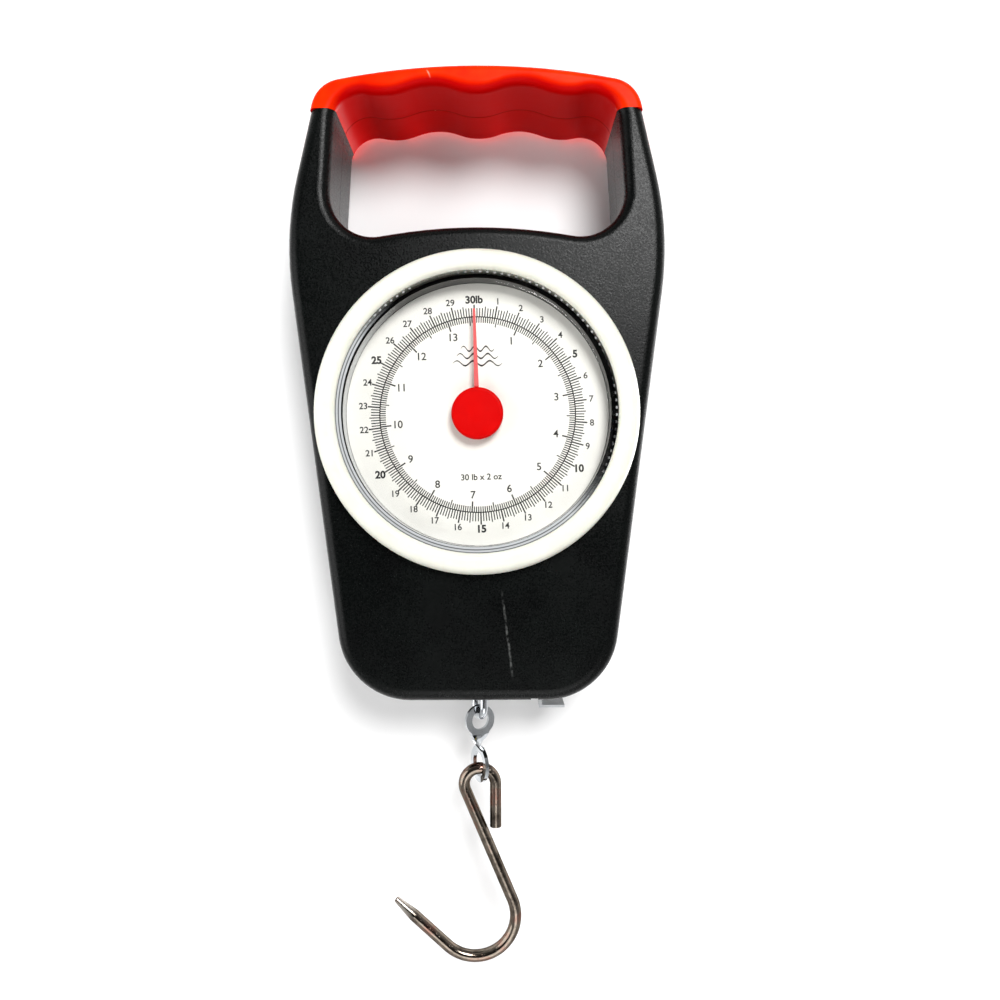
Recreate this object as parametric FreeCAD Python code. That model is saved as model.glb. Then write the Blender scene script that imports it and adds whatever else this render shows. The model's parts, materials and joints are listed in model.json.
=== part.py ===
import FreeCAD, Part
import math
import os

# Hanging dial scale with a pull-out tape measure.
# The scale hangs from its grip: +Z is up, the dial faces -Y, and the origin is the
# middle of the grip. All sizes are in millimetres.

os.makedirs("parts", exist_ok=True)
V = FreeCAD.Vector
UP = V(0, 0, 1)
BACK = V(0, 1, 0)

# Housing and grip
DEPTH = 35.0
FRONT_Y = -DEPTH / 2
REAR_Y = DEPTH / 2
WALL = 2.0
BEYOND = 300.0            # size of cutting blocks that reach past the whole scale
SEAM = 0.2                # open joint line between the front and rear halves
HOUSING_EDGE_R = 3.8
HOUSING_OPENING_R = 3.3
GRIP_EDGE_R = 2.0
GRIP_OPENING_R = 3.0
GRIP_JOINT_Z = -11.0
TOP_APEX_Z = 6.3
TOP_R = 220.0
SHOULDER = (48.1, -2.9, 10.0)
WIDEST = (58.24, -47.5, 100.0)
BOTTOM_Z = -188.4
BOTTOM_CORNER = (39.6, BOTTOM_Z, 22.0)

# Hand opening: a wavy underside with four finger grooves, and an arched sill
WAVE_PITCH = 26.7
WAVE_MID_Z = -4.6
WAVE_PEAK = 2.26
WAVE_R = 19.0
OPENING_GROOVE_Z = -1.9   # above every edge of the opening
OPENING_TOP = (42.4, -3.8, 9.0)
OPENING_BOTTOM = (45.3, -51.05, 13.0)
OPENING_HALF = 45.5       # outside every edge of the opening
SILL_APEX_Z = -43.7
SILL_R = 160.0

# Dial
DIAL_Z = -102.0
DIAL_TILT = 1.7           # zero setting of the dial and pointer, degrees
WINDOW_R = 44.5
BEZEL_R = 48.0
BEZEL_INNER_R = 41.6
BEZEL_FRONT_Y = -23.9
BEZEL_SEAT_Y = FRONT_Y - 0.2
SKIRT_R = 44.2            # the bezel's skirt, and the lip that snaps behind the wall
SKIRT_LIP_R = 45.1
SKIRT_LIP_Y = -15.2
SKIRT_END_Y = -14.0
LENS_R = 42.3
LENS_T = 1.8
LENS_FRONT_Y = -21.5
CUP_END_Y = -11.9         # rear end of the lens cup, where the detent ring sits
DIAL_R = 39.8
DIAL_FACE_Y = -12.9
DIAL_T = 1.0
DETENT_TEETH = 120
DETENT_R = 43.8
WELL_R = 45.4             # wall inside the front housing round the bezel's skirt
WELL_T = 1.5
HUB_FRONT_Y = -17.6       # pointer hub and the shaft that it is pressed on
POINTER_HUB_R = 7.8
POINTER_TIP = 31.4
SHAFT_R = 1.0
SHAFT_FRONT_Y = -16.6

# Mechanism
MODULE = 0.5
PINION_TEETH = 12
PITCH_R = MODULE * PINION_TEETH / 2
GEAR_FRONT_Y = -7.6
GEAR_WIDTH = 3.0
PLATE_FRONT_Y = -9.8
PLATE_T = 1.2
SPRING_X = 12.0
SPRING_Y = 1.0
SPRING_R = 3.8
SPRING_WIRE = 1.2
SPRING_TOP_Z = -64.0
YOKE_TOP_Z = -146.0
YOKE_H = 6.0
YOKE_HALF = 16.0
YOKE_FRONT_Y = -4.6
YOKE_REAR_Y = 5.4
RIVET_X = 5.6             # rivet through the rack's foot and the yoke
RIVET_R = 1.0
HANGER_SCREW_X = 9.0
HANGER_SCREW_R = 1.1

# Drawbar loop, twisted link and hook
LINK_TURN = 26.0          # turn of the link about the vertical, degrees
LOOP_WIRE_R = 1.25
LOOP_R = 3.2
LOOP_Z = -196.8           # centre of the wire at the bottom of the loop
LINK_T = 1.2
LINK_TOP_HOLE_R = 2.9
LINK_TOP_R = 4.9
LINK_LOW_HOLE_R = 3.8
LINK_LOW_R = 5.7
LINK_TOP_HOLE_Z = -198.25
LINK_LOW_HOLE_Z = -212.2
HOOK_WIRE_R = 1.8
EYE_X = 0.0
EYE_Z = -218.6
EYE_R = 5.0
BOWL_X = -1.7
BOWL_Z = -260.6
BOWL_R = 13.0
POINT_ANGLE = 137.8       # heading of the point limb, degrees from +X

# Tape measure
TAPE_X = 28.8
TAPE_Z = -160.0
COIL_R = 9.9
HUB_R = 6.0
POST_R = 1.8
CASE_R = 12.3
CASE_T = 1.0
CASE_HALF = 6.0
BLADE_HALF = 4.0
BLADE_T = 0.2
BLADE_X = TAPE_X - COIL_R - 0.1   # face of the straight blade that is nearer the coil
TAB_T = 0.8
TAB_LIP = 8.0
TAB_HALF = 4.4
TAB_BOTTOM_Z = -193.2
TAB_RIVET_R = 0.6
TAB_RIVET_Y = 2.0
TAB_RIVET_Z = BOTTOM_Z - 1.6

HOUSING_SCREWS = [(sx * x, z) for x, z in ((48.0, -57.0), (38.5, -143.0), (28.5, -181.0)) for sx in (-1, 1)]
HOUSING_SCREW_R = 1.3
HOUSING_SCREW_HEAD_R = 2.5
FRONT_BOSS_R = 3.2
REAR_BOSS_R = 3.9
GRIP_SCREWS = [(-WAVE_PITCH, -2.9), (WAVE_PITCH, -2.9)]
GRIP_SCREW_R = 1.0
GRIP_SCREW_HEAD_R = 2.0
SCREW_SEAT_Y = 6.0
SCREW_LENGTH = 14.5
SCREW_HOLE_Y = -9.0       # how far forward the blind screw holes reach
SPIGOT_X = 46.6
SPIGOT_HALF = 1.2
FRAME_SCREWS = [(sx * 24.0, z) for z in (-62.0, -142.0) for sx in (-1, 1)]


def in_xz(a, b):
    return V(a, 0, b)


def in_xy(a, b):
    return V(a, b, 0)


def rounded_wire(corners, to_point=in_xz):
    """Closed wire through (a, b, radius) corners, each rounded by its own radius."""
    points = [to_point(a, b) for a, b, _ in corners]
    edges = []
    ends = []
    for i, (_, _, radius) in enumerate(corners):
        here = points[i]
        back = (points[i - 1] - here).normalize()
        ahead = (points[(i + 1) % len(points)] - here).normalize()
        if radius == 0:
            ends.append((here, here))
            continue
        half = math.acos(back.dot(ahead)) / 2
        cut = radius / math.tan(half)
        inward = (back + ahead).normalize()
        middle = here + inward * (radius / math.sin(half) - radius)
        start = here + back * cut
        end = here + ahead * cut
        edges.append(Part.Arc(start, middle, end).toShape())
        ends.append((start, end))
    for i, (_, end) in enumerate(ends):
        start = ends[(i + 1) % len(ends)][0]
        if end.distanceToPoint(start) > 1e-6:
            edges.append(Part.LineSegment(end, start).toShape())
    return Part.Wire(Part.__sortEdges__(edges))


def mirrored(right_half):
    """Right-hand corners from top to bottom, followed by their mirror images."""
    left_half = [(-x, z, r) for x, z, r in reversed(right_half) if x != 0]
    return right_half + left_half


def outline():
    return rounded_wire(mirrored([(0, TOP_APEX_Z, TOP_R), SHOULDER, WIDEST, BOTTOM_CORNER]))


def opening():
    bump = WAVE_MID_Z - WAVE_PEAK
    groove = WAVE_MID_Z + WAVE_PEAK
    half = [(0, bump, WAVE_R), (WAVE_PITCH / 2, groove, WAVE_R), (WAVE_PITCH, bump, WAVE_R)]
    half += [OPENING_TOP, OPENING_BOTTOM, (0, SILL_APEX_Z, SILL_R)]
    left = [(-x, z, r) for x, z, r in reversed(half) if x != 0]
    return rounded_wire(half + left)


def slab(wire, y0, y1):
    """Prism of a wire drawn in the XZ plane, from y0 to y1."""
    shape = Part.Face(wire).extrude(V(0, y1 - y0, 0))
    shape.translate(V(0, y0, 0))
    return shape


def rod(x, z, radius, y0, y1):
    """Round bar along Y."""
    return Part.makeCylinder(radius, y1 - y0, V(x, y0, z), BACK)


def box(x0, x1, y0, y1, z0, z1):
    return Part.makeBox(x1 - x0, y1 - y0, z1 - z0, V(x0, y0, z0))


def ring(profile):
    """Solid turned about the dial's axis from (radius, y, rounding) corners."""
    shape = Part.Face(rounded_wire(profile, in_xy)).revolve(V(0, 0, 0), BACK, 360)
    shape.translate(V(0, 0, DIAL_Z))
    return shape


def edges_at(shape, y, inside):
    """Edges in the plane y round the hand opening, or the outer ones, without those of the joint."""
    found = []
    for edge in shape.Edges:
        if any(abs(v.Y - y) > 1e-4 for v in edge.Vertexes):
            continue
        at_joint = all(abs(v.Z - GRIP_JOINT_Z) < 1e-4 for v in edge.Vertexes)
        if at_joint and edge.Curve.TypeId == "Part::GeomLine":
            continue
        middle = edge.CenterOfMass
        in_opening = abs(middle.x) < OPENING_HALF and OPENING_BOTTOM[1] - 1 < middle.z < OPENING_GROOVE_Z
        if in_opening == inside:
            found.append(edge)
    return found


def half_block(side, z0, z1, edge_r, opening_r):
    """Solid front (-1) or rear (+1) half of the body between two heights, with rounded edges."""
    face_y = side * DEPTH / 2
    block = slab(outline(), 0, face_y).cut(slab(opening(), 0, face_y))
    block = block.common(box(-BEYOND, BEYOND, -BEYOND, BEYOND, z0, z1))
    block = max(block.Solids, key=lambda s: s.Volume)
    block = block.makeFillet(edge_r, edges_at(block, face_y, False))
    block = block.makeFillet(opening_r, edges_at(block, face_y, True))
    return block.cut(box(-BEYOND, BEYOND, -SEAM / 2, SEAM / 2, -BEYOND, BEYOND))


def cavity(side):
    """Hollow inside one half: the outline less one wall thickness all round."""
    outer = outline().makeOffset2D(-WALL)
    around_opening = opening().makeOffset2D(WALL)
    y_end = side * (DEPTH / 2 - WALL)
    hollow = slab(outer, 0, y_end)
    hollow = hollow.makeFillet(HOUSING_EDGE_R - WALL, edges_at(hollow, y_end, False))
    return hollow.cut(slab(around_opening, 0, y_end))


def leg_spigots(side):
    """Tongues under the grip ends that drop into the hollow legs."""
    y0, y1 = sorted((side * 2.0, side * 11.0))
    return [box(x - SPIGOT_HALF, x + SPIGOT_HALF, y0, y1, GRIP_JOINT_Z - 5.0, GRIP_JOINT_Z)
            for x in (-SPIGOT_X, SPIGOT_X)]


def grip_half(side):
    solid = half_block(side, GRIP_JOINT_Z, BEYOND, GRIP_EDGE_R, GRIP_OPENING_R)
    for tongue in leg_spigots(side):
        solid = solid.fuse(tongue)
    for x, z in GRIP_SCREWS:
        if side < 0:
            solid = solid.cut(rod(x, z, GRIP_SCREW_R, SCREW_HOLE_Y, 0))
        else:
            solid = solid.cut(rod(x, z, GRIP_SCREW_R + 0.2, 0, BEYOND))
            solid = solid.cut(rod(x, z, GRIP_SCREW_HEAD_R + 0.2, SCREW_SEAT_Y, BEYOND))
    return solid.removeSplitter()


def housing_half(side):
    solid = half_block(side, -BEYOND, GRIP_JOINT_Z, HOUSING_EDGE_R, HOUSING_OPENING_R)
    return solid.cut(cavity(side))


def cut_bottom(shape):
    """Holes in the floor for the drawbar guide and the tape mouth, and the tape notch."""
    shape = shape.cut(Part.makeCylinder(6.0, 8, V(0, 0, BOTTOM_Z - 2), UP))
    shape = shape.cut(box(BLADE_X - 1.6, BLADE_X + 3.2, -5.2, 5.2, BOTTOM_Z - 2, BOTTOM_Z + 4))
    return shape.cut(box(BLADE_X - 3.0, BLADE_X - 0.8, FRONT_Y - 1, -5.2, BOTTOM_Z - 1, BOTTOM_Z + 0.9))


def front_housing():
    shell = housing_half(-1)
    shell = shell.cut(rod(0, DIAL_Z, WINDOW_R, FRONT_Y - 5, FRONT_Y + 10))
    well = rod(0, DIAL_Z, WELL_R + WELL_T, FRONT_Y + WALL, CUP_END_Y - 0.1)
    well = well.cut(rod(0, DIAL_Z, WELL_R, FRONT_Y, 0))
    shell = shell.fuse(well.common(cavity(-1)))
    for x, z in HOUSING_SCREWS:
        shell = shell.fuse(rod(x, z, FRONT_BOSS_R, FRONT_Y + WALL - 0.1, 0))
        shell = shell.cut(rod(x, z, HOUSING_SCREW_R, SCREW_HOLE_Y, 0))
    shell = cut_bottom(shell)
    return shell.removeSplitter()


def rear_housing():
    shell = housing_half(1)
    for x, z in HOUSING_SCREWS:
        shell = shell.fuse(rod(x, z, REAR_BOSS_R, 0, REAR_Y - WALL + 0.1))
        shell = shell.cut(rod(x, z, HOUSING_SCREW_R + 0.3, -1, BEYOND))
        shell = shell.cut(rod(x, z, HOUSING_SCREW_HEAD_R + 0.3, SCREW_SEAT_Y, BEYOND))
    for x, z in FRAME_SCREWS:
        shell = shell.fuse(rod(x, z, 3.0, PLATE_FRONT_Y + PLATE_T, REAR_Y - WALL + 0.1))
        shell = shell.cut(rod(x, z, 1.1, PLATE_FRONT_Y - 1, 2.0))
    shell = cut_bottom(shell)
    return shell.removeSplitter()


def screw(x, z, seat_y, length, shank_r, head_r, head_h, direction):
    """Pan-head screw whose head sits on seat_y and whose shank runs along direction."""
    axis = V(0, direction, 0)
    head = Part.makeCylinder(head_r, head_h, V(x, seat_y, z), axis * -1)
    head = head.makeFillet(head_h * 0.45, [e for e in head.Edges if abs(e.CenterOfMass.y - seat_y) > 0.1
                                           and len(e.Vertexes) == 1])
    slot_y0, slot_y1 = sorted((seat_y - direction * head_h * 0.5, seat_y - direction * (head_h + 1)))
    cross = box(x - head_r * 0.62, x + head_r * 0.62, slot_y0, slot_y1, z - 0.3, z + 0.3)
    cross = cross.fuse(box(x - 0.3, x + 0.3, slot_y0, slot_y1, z - head_r * 0.62, z + head_r * 0.62))
    shank = Part.makeCylinder(shank_r, length, V(x, seat_y, z), axis)
    return head.cut(cross).fuse(shank)


def housing_screws():
    return Part.makeCompound([screw(x, z, SCREW_SEAT_Y, SCREW_LENGTH, HOUSING_SCREW_R,
                                    HOUSING_SCREW_HEAD_R, 1.8, -1) for x, z in HOUSING_SCREWS])


def grip_screws():
    return Part.makeCompound([screw(x, z, SCREW_SEAT_Y, SCREW_LENGTH, GRIP_SCREW_R,
                                    GRIP_SCREW_HEAD_R, 1.5, -1) for x, z in GRIP_SCREWS])


def frame_screws():
    return Part.makeCompound([screw(x, z, PLATE_FRONT_Y, 9.0, 1.1, 2.2, 1.2, 1) for x, z in FRAME_SCREWS])


def bezel_ring():
    """Proud rounded ring; its skirt turns in the window and snaps behind the wall."""
    return ring([(BEZEL_INNER_R, BEZEL_FRONT_Y, 2.0), (BEZEL_R, BEZEL_FRONT_Y, 3.8),
                 (BEZEL_R, BEZEL_SEAT_Y, 0.4), (SKIRT_R, BEZEL_SEAT_Y, 0), (SKIRT_R, SKIRT_LIP_Y, 0),
                 (SKIRT_LIP_R, SKIRT_LIP_Y, 0), (SKIRT_LIP_R, SKIRT_END_Y, 0),
                 (LENS_R + 0.1, SKIRT_END_Y, 0), (LENS_R + 0.1, LENS_FRONT_Y, 0),
                 (BEZEL_INNER_R, LENS_FRONT_Y, 0)])


def lens():
    """Clear cup: a flat window with a wall that reaches down past the dial."""
    return ring([(0, LENS_FRONT_Y, 0), (LENS_R, LENS_FRONT_Y, 0.8), (LENS_R, CUP_END_Y, 0),
                 (DIAL_R + 0.1, CUP_END_Y, 0), (DIAL_R + 0.1, LENS_FRONT_Y + LENS_T, 1.2),
                 (0, LENS_FRONT_Y + LENS_T, 0)])


def dial_disc():
    disc = rod(0, DIAL_Z, DIAL_R, DIAL_FACE_Y, DIAL_FACE_Y + DIAL_T)
    disc = disc.cut(rod(0, DIAL_Z, 2.4, -20, 0))
    foot_z = DIAL_Z - DIAL_R
    lug = box(-2.2, 2.2, DIAL_FACE_Y + 0.2, DIAL_FACE_Y + DIAL_T, foot_z - 0.1, foot_z + 1)
    lug.rotate(V(0, 0, DIAL_Z), BACK, -DIAL_TILT)
    return disc.fuse(lug.common(rod(0, DIAL_Z, DIAL_R + 0.1, -20, 0))).removeSplitter()


def toothed_outline(count, root_r, tip_r, root_half, tip_half):
    """Closed polygon of straight-sided teeth; the half angles are in tooth pitches."""
    step = 2 * math.pi / count
    points = []
    for i in range(count):
        middle = i * step
        for share, radius in ((-root_half, root_r), (-tip_half, tip_r),
                              (tip_half, tip_r), (root_half, root_r)):
            angle = middle + share * step
            points.append(V(radius * math.cos(angle), 0, radius * math.sin(angle)))
    return Part.makePolygon(points + points[:1])


def detent_ring():
    """Toothed ring under the dial that the housing's catch clicks against."""
    teeth = toothed_outline(DETENT_TEETH, DETENT_R - 0.8, DETENT_R, 0.42, 0.18)
    wheel = slab(teeth, CUP_END_Y, CUP_END_Y + 1.1)
    wheel.translate(V(0, 0, DIAL_Z))
    return wheel.cut(rod(0, DIAL_Z, 38.0, -20, 0))


def detent_catch():
    """Leaf that clicks in the teeth, clear of them by a hair at rest."""
    leaf = box(-5.0, 5.0, -11.7, -11.0, DIAL_Z - 45.2, DIAL_Z - 44.7)
    foot = box(4.0, 7.0, -11.7, -9.0, DIAL_Z - 46.6, DIAL_Z - 44.7)
    return leaf.fuse(foot).removeSplitter()


def pointer():
    """Round hub with a thin tapered needle."""
    hub = rod(0, DIAL_Z, POINTER_HUB_R, HUB_FRONT_Y, -15.0)
    hub = hub.makeFillet(0.9, [e for e in hub.Edges if len(e.Vertexes) == 1 and e.CenterOfMass.y < -17])
    hub = hub.cut(rod(0, DIAL_Z, SHAFT_R, SHAFT_FRONT_Y, 0))
    needle = slab(Part.makePolygon([V(-0.8, 0, 0), V(-0.36, 0, POINTER_TIP), V(0.36, 0, POINTER_TIP),
                                    V(0.8, 0, 0), V(-0.8, 0, 0)]), -16.4, -15.6)
    needle.translate(V(0, 0, DIAL_Z))
    needle = needle.cut(rod(0, DIAL_Z, 5.0, -20, 0))
    needle.rotate(V(0, 0, DIAL_Z), BACK, -DIAL_TILT)
    return hub.fuse(needle).removeSplitter()


def pointer_shaft():
    return rod(0, DIAL_Z, SHAFT_R, SHAFT_FRONT_Y, -1.4)


def pinion():
    """Twelve straight-sided teeth, thinned so that they roll freely on the rack."""
    teeth = toothed_outline(PINION_TEETH, PITCH_R - 0.65, PITCH_R + 0.4, 0.27, 0.08)
    wheel = slab(teeth, GEAR_FRONT_Y, GEAR_FRONT_Y + GEAR_WIDTH)
    wheel.translate(V(0, 0, DIAL_Z))
    return wheel.cut(rod(0, DIAL_Z, SHAFT_R, -20, 5))


def rack():
    """Toothed bar beside the pinion; its foot is riveted to the yoke."""
    pitch = math.pi * MODULE
    y1 = GEAR_FRONT_Y + GEAR_WIDTH
    bar = box(PITCH_R + 0.65, 7.6, GEAR_FRONT_Y, y1, YOKE_TOP_Z - YOKE_H, -78.0)
    for i in range(-3, 15):
        z = DIAL_Z + (i + 0.5) * pitch
        tooth = Part.makePolygon([V(PITCH_R + 0.7, 0, z - 0.5), V(PITCH_R - 0.4, 0, z - 0.14),
                                  V(PITCH_R - 0.4, 0, z + 0.14), V(PITCH_R + 0.7, 0, z + 0.5),
                                  V(PITCH_R + 0.7, 0, z - 0.5)])
        bar = bar.fuse(slab(tooth, GEAR_FRONT_Y, y1))
    bar = bar.cut(rod(RIVET_X, YOKE_TOP_Z - YOKE_H / 2, RIVET_R, -20, 20))
    return bar.removeSplitter()


def rack_rivet():
    z = YOKE_TOP_Z - YOKE_H / 2
    head = Part.makeCylinder(RIVET_R + 0.8, 0.8, V(RIVET_X, GEAR_FRONT_Y, z), BACK * -1)
    return head.fuse(rod(RIVET_X, z, RIVET_R, GEAR_FRONT_Y, YOKE_REAR_Y))


def mechanism_plate():
    """Pressed steel plate with a top flange; it carries the bearings and the springs."""
    y1 = PLATE_FRONT_Y + PLATE_T
    edge = [(-28, -57, 3), (28, -57, 3), (28, -146, 3), (-28, -146, 3)]
    plate = slab(rounded_wire(edge), PLATE_FRONT_Y, y1)
    plate = plate.fuse(box(-18, 18, PLATE_FRONT_Y, 6.0, -58.2, -57.0))
    for x in (-17, 17):
        window = [(x - 6, -70, 3), (x + 6, -70, 3), (x + 6, -134, 3), (x - 6, -134, 3)]
        plate = plate.cut(slab(rounded_wire(window), PLATE_FRONT_Y - 1, y1 + 1))
    plate = plate.cut(rod(0, DIAL_Z, 2.5, -20, 0))
    for x, z in FRAME_SCREWS:
        plate = plate.cut(rod(x, z, 1.3, -20, 0))
    for x in (-HANGER_SCREW_X, HANGER_SCREW_X):
        plate = plate.cut(Part.makeCylinder(HANGER_SCREW_R, 4, V(x, SPRING_Y, -60), UP))
    return plate.removeSplitter()


def front_bush():
    bush = rod(0, DIAL_Z, 2.5, PLATE_FRONT_Y - 0.3, PLATE_FRONT_Y + PLATE_T + 0.6)
    return bush.cut(rod(0, DIAL_Z, SHAFT_R + 0.05, -20, 5))


def bearing_bridge():
    """Strip behind the pinion on two pillars; it holds the shaft's rear end."""
    strip = box(-6, 1.9, -3.4, -2.2, -122, -82)
    strip = strip.cut(rod(0, DIAL_Z, 1.5, -20, 5))
    for z in (-118, -86):
        strip = strip.fuse(rod(-3.4, z, 2.0, PLATE_FRONT_Y + PLATE_T, -3.4))
    return strip.removeSplitter()


def rear_bush():
    bush = rod(0, DIAL_Z, 1.5, -3.6, -1.2)
    return bush.cut(rod(0, DIAL_Z, SHAFT_R + 0.05, -20, -1.3))


def rack_guide_spring():
    """Leaf that keeps the rack on the pinion, riding a hair behind it."""
    leaf = box(7.9, 8.2, GEAR_FRONT_Y + 0.3, -4.9, -116, -88)
    foot = box(7.9, 13, PLATE_FRONT_Y + PLATE_T, GEAR_FRONT_Y + 0.3, -116, -110)
    return leaf.fuse(foot).removeSplitter()


def spring_hanger():
    """Bar under the plate's flange that both main springs hang from."""
    bar = box(-16, 16, -3.0, 5.0, -60.7, -58.2)
    for x in (-SPRING_X, SPRING_X):
        bar = bar.fuse(box(x - 1.0, x + 1.0, SPRING_Y - 2.2, SPRING_Y + 2.2, SPRING_TOP_Z, -60.7))
    for x in (-HANGER_SCREW_X, HANGER_SCREW_X):
        bar = bar.cut(Part.makeCylinder(HANGER_SCREW_R, 6, V(x, SPRING_Y, -62), UP))
    return bar.removeSplitter()


def hanger_screws():
    screws = []
    for x in (-HANGER_SCREW_X, HANGER_SCREW_X):
        head = Part.makeCylinder(2.0, 1.2, V(x, SPRING_Y, -57.0), UP)
        shank = Part.makeCylinder(HANGER_SCREW_R, 5.0, V(x, SPRING_Y, -62.0), UP)
        screws.append(head.fuse(shank))
    return Part.makeCompound(screws)


def main_spring(x):
    """Close-wound extension spring as a sleeve of its own outer and inner size."""
    length = SPRING_TOP_Z - YOKE_TOP_Z
    sleeve = Part.makeCylinder(SPRING_R, length, V(x, SPRING_Y, YOKE_TOP_Z), UP)
    return sleeve.cut(Part.makeCylinder(SPRING_R - SPRING_WIRE, length, V(x, SPRING_Y, YOKE_TOP_Z), UP))


def loop_axis():
    """Horizontal direction of the wire at the bottom of the drawbar loop."""
    turn = math.radians(LINK_TURN)
    return V(math.sin(turn), -math.cos(turn), 0)


def load_yoke():
    """Cross bar that joins the springs, the rack and the drawbar."""
    low_z = YOKE_TOP_Z - YOKE_H
    yoke = slab(rounded_wire([(-YOKE_HALF, YOKE_TOP_Z, 2), (YOKE_HALF, YOKE_TOP_Z, 2),
                              (YOKE_HALF, low_z, 2), (-YOKE_HALF, low_z, 2)]), YOKE_FRONT_Y, YOKE_REAR_Y)
    for side in (-1, 1):
        leg = loop_axis() * (side * LOOP_R)
        yoke = yoke.cut(Part.makeCylinder(LOOP_WIRE_R, 20, V(leg.x, leg.y, -160), UP))
    return yoke.cut(rod(RIVET_X, YOKE_TOP_Z - YOKE_H / 2, RIVET_R, -20, 20))


def drawbar():
    """Round wire bent to a long U; the link hangs in its bottom bend."""
    axis = loop_axis()
    bend_z = LOOP_Z + LOOP_R
    legs = []
    for side in (-1, 1):
        foot = axis * (side * LOOP_R) + V(0, 0, bend_z)
        legs.append(Part.makeCylinder(LOOP_WIRE_R, YOKE_TOP_Z - bend_z, foot, UP))
    across = axis.cross(UP)
    start = axis * LOOP_R + V(0, 0, bend_z)
    section = Part.Face(Part.Wire(Part.makeCircle(LOOP_WIRE_R, start, UP)))
    bend = section.revolve(V(0, 0, bend_z), across, 180)
    if bend.BoundBox.ZMax > bend_z + 0.1:
        bend = section.revolve(V(0, 0, bend_z), across, -180)
    return bend.fuse(legs).removeSplitter()


def drawbar_guide():
    """Plastic bush in the floor with a running hole for each leg of the drawbar."""
    bush = Part.makeCylinder(5.9, 6.0, V(0, 0, BOTTOM_Z - 0.6), UP)
    bush = bush.fuse(Part.makeCylinder(7.4, 1.6, V(0, 0, BOTTOM_Z + WALL + 0.1), UP))
    for side in (-1, 1):
        leg = loop_axis() * (side * LOOP_R)
        bush = bush.cut(Part.makeCylinder(LOOP_WIRE_R + 0.1, 20, V(leg.x, leg.y, BOTTOM_Z - 5), UP))
    return bush


def link_section(z, turn, width):
    """Thin rectangle across the link at height z, its face turned about the vertical."""
    angle = math.radians(turn)
    along = V(math.cos(angle), math.sin(angle), 0) * (width / 2)
    across = V(-math.sin(angle), math.cos(angle), 0) * (LINK_T / 2)
    middle = V(0, 0, z)
    points = [middle + along + across, middle - along + across,
              middle - along - across, middle + along - across]
    return Part.makePolygon(points + points[:1])


def link_end(z, radius, hole_r, neck_z, neck_width, turn):
    """Flat round end with a hole, running into the neck of the twist."""
    plate = rod(0, z, radius, -LINK_T / 2, LINK_T / 2)
    shoulder = Part.makePolygon([V(-radius, 0, z), V(radius, 0, z), V(neck_width / 2, 0, neck_z),
                                 V(-neck_width / 2, 0, neck_z), V(-radius, 0, z)])
    plate = plate.fuse(slab(shoulder, -LINK_T / 2, LINK_T / 2)).cut(rod(0, z, hole_r, -5, 5))
    plate.rotate(V(0, 0, 0), UP, turn)
    return plate


def twisted_link():
    """Flat steel link with a quarter twist between its two holes."""
    neck = 5.6
    top_z = LINK_TOP_HOLE_Z - LINK_TOP_R + 0.4
    low_z = LINK_LOW_HOLE_Z + LINK_LOW_R - 1.2
    steps = 6
    sections = []
    for i in range(steps + 1):
        share = i / steps
        sections.append(link_section(top_z + (low_z - top_z) * share, LINK_TURN + 90 * share, neck))
    twist = Part.makeLoft(sections, True, False)
    top = link_end(LINK_TOP_HOLE_Z, LINK_TOP_R, LINK_TOP_HOLE_R, top_z, neck, LINK_TURN)
    low = link_end(LINK_LOW_HOLE_Z, LINK_LOW_R, LINK_LOW_HOLE_R, low_z, neck, LINK_TURN + 90)
    return top.fuse([twist, low]).removeSplitter()


def heading(angle):
    return V(math.cos(angle), 0, math.sin(angle))


def hook():
    """Round wire: short limb, eye, straight shank, wide bowl and a tapered point."""
    eye = V(EYE_X, 0, EYE_Z)
    bowl = V(BOWL_X, 0, BOWL_Z)
    between = bowl - eye
    line = math.atan2(between.z, between.x) + math.asin((EYE_R + BOWL_R) / between.Length)
    left_of = heading(line + math.pi / 2)
    eye_end = eye - left_of * EYE_R
    bowl_start = bowl + left_of * BOWL_R
    point = math.radians(POINT_ANGLE)
    bowl_end = bowl + heading(point + math.pi / 2) * BOWL_R
    bowl_mid = bowl + heading((line + point) / 2 - math.pi / 2) * BOWL_R
    limb_top = eye + V(EYE_R, 0, 0)
    limb_end = V(limb_top.x, 0, EYE_Z - 13.6)
    straight_end = bowl_end + heading(point) * 14.5
    path = Part.Wire([
        Part.LineSegment(limb_end, limb_top).toShape(),
        Part.Arc(limb_top, eye + V(-0.6, 0, 0.8) * EYE_R, eye_end).toShape(),
        Part.LineSegment(eye_end, bowl_start).toShape(),
        Part.Arc(bowl_start, bowl_mid, bowl_end).toShape(),
        Part.LineSegment(bowl_end, straight_end).toShape()])
    section = Part.Wire(Part.makeCircle(HOOK_WIRE_R, limb_end, UP))
    wire = path.makePipeShell([section], True, True)
    tip = Part.makeCone(HOOK_WIRE_R, 0.9, 7.6, straight_end, heading(point))
    return wire.fuse(tip).removeSplitter()


def tape_case_half(side):
    """One shell of the tape cassette: a shallow cup with a mouth for the blade."""
    y0, y1 = sorted((side * CASE_HALF, 0))
    cup = rod(TAPE_X, TAPE_Z, CASE_R, y0, y1)
    y0, y1 = sorted((side * (CASE_HALF - CASE_T), -side))
    cup = cup.cut(rod(TAPE_X, TAPE_Z, CASE_R - CASE_T, y0, y1))
    return cup.cut(box(BLADE_X - 0.8, BLADE_X + 0.8, -4.6, 4.6, TAPE_Z - CASE_R, TAPE_Z - 2))


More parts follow.
